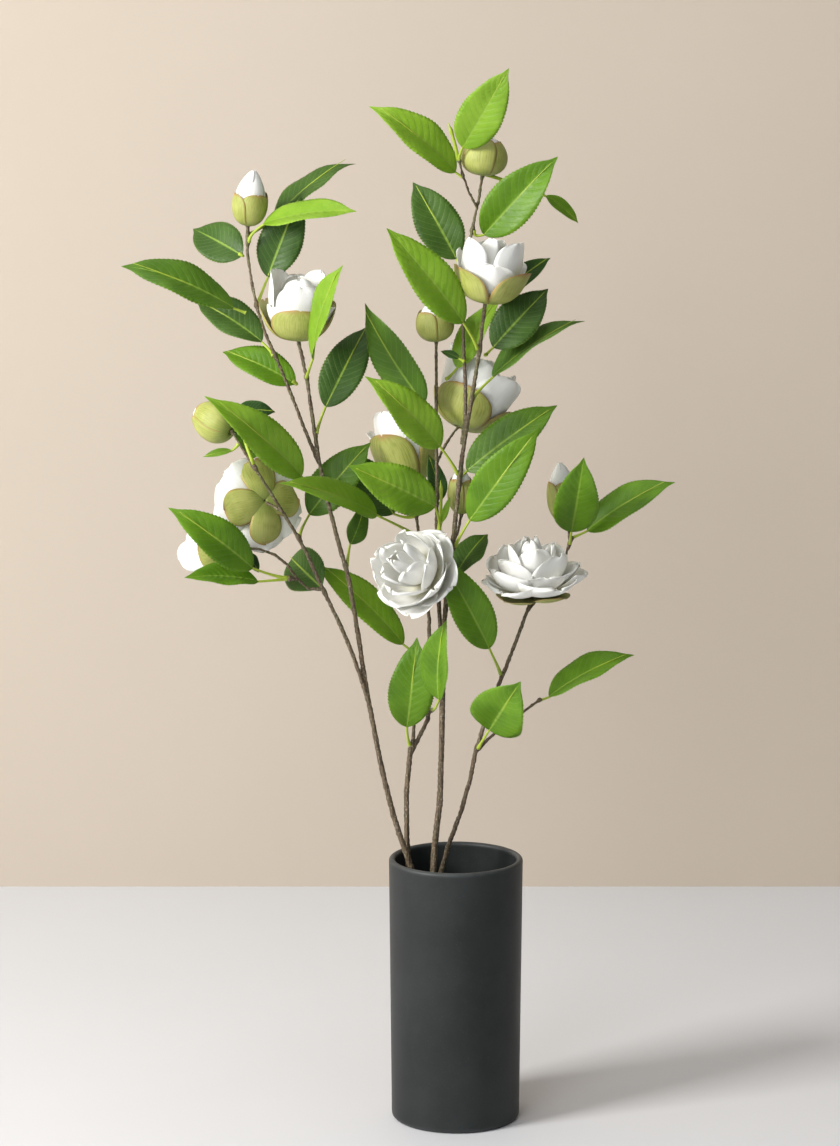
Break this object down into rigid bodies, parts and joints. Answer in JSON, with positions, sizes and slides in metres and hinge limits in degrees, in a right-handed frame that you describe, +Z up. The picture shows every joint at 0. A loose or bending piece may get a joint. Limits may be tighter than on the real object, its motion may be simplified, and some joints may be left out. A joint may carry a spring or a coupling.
{
  "type": "camellia branch",
  "caption": "Camellia branches with leaves, buds and open white blooms, standing in a tall plain cylinder vase.",
  "frame": {"origin": "centre of the vase's flat foot, on the surface it stands on", "axes": "+Z up along the vase, -Y to the front, +X to the right as seen from the front"},
  "size_m": [0.5085, 0.1976, 0.9975],
  "materials": {
    "stoneware": "matte charcoal glaze, smooth to the touch",
    "bark": "rough brown bark with pale flecks and swollen nodes",
    "leaf": "satin green blade with pale veins, lighter underneath",
    "petal": "soft white petals, cream at the base, with olive sepals"
  },
  "bodies": {
    "root": {"vase": "stoneware", "branch_left": "bark", "branch_back": "bark", "branch_center": "bark", "branch_right": "bark", "leaf_left_1": "leaf", "leaf_left_2": "leaf", "leaf_left_3": "leaf", "leaf_left_4": "leaf", "leaf_left_5": "leaf", "leaf_left_6": "leaf", "leaf_left_7": "leaf", "leaf_left_8": "leaf", "leaf_left_9": "leaf", "leaf_left_10": "leaf", "leaf_left_11": "leaf", "leaf_low_1": "leaf", "leaf_low_2": "leaf", "leaf_low_3": "leaf", "leaf_low_4": "leaf", "leaf_low_5": "leaf", "leaf_back_1": "leaf", "leaf_back_2": "leaf", "leaf_back_3": "leaf", "leaf_back_4": "leaf", "leaf_back_5": "leaf", "leaf_center_1": "leaf", "leaf_center_2": "leaf", "leaf_center_3": "leaf", "leaf_center_4": "leaf", "leaf_center_5": "leaf", "leaf_center_6": "leaf", "leaf_center_7": "leaf", "leaf_center_8": "leaf", "leaf_center_9": "leaf", "leaf_center_10": "leaf", "leaf_center_11": "leaf", "leaf_center_12": "leaf", "leaf_center_13": "leaf", "leaf_center_14": "leaf", "leaf_right_1": "leaf", "leaf_right_2": "leaf", "leaf_right_3": "leaf", "leaf_right_4": "leaf", "leaf_right_5": "leaf", "bud_far_left": "petal", "flower_left_cup": "petal", "bud_low_left": "petal", "flower_low_open": "petal", "flower_low_cup": "petal", "flower_front_open": "petal", "flower_back_bud": "petal", "bud_mid": "petal", "bud_top": "petal", "flower_top_cup": "petal", "flower_mid_cup": "petal", "bud_behind": "petal", "flower_right_open": "petal", "bud_right": "petal"}
  },
  "joints": []
}
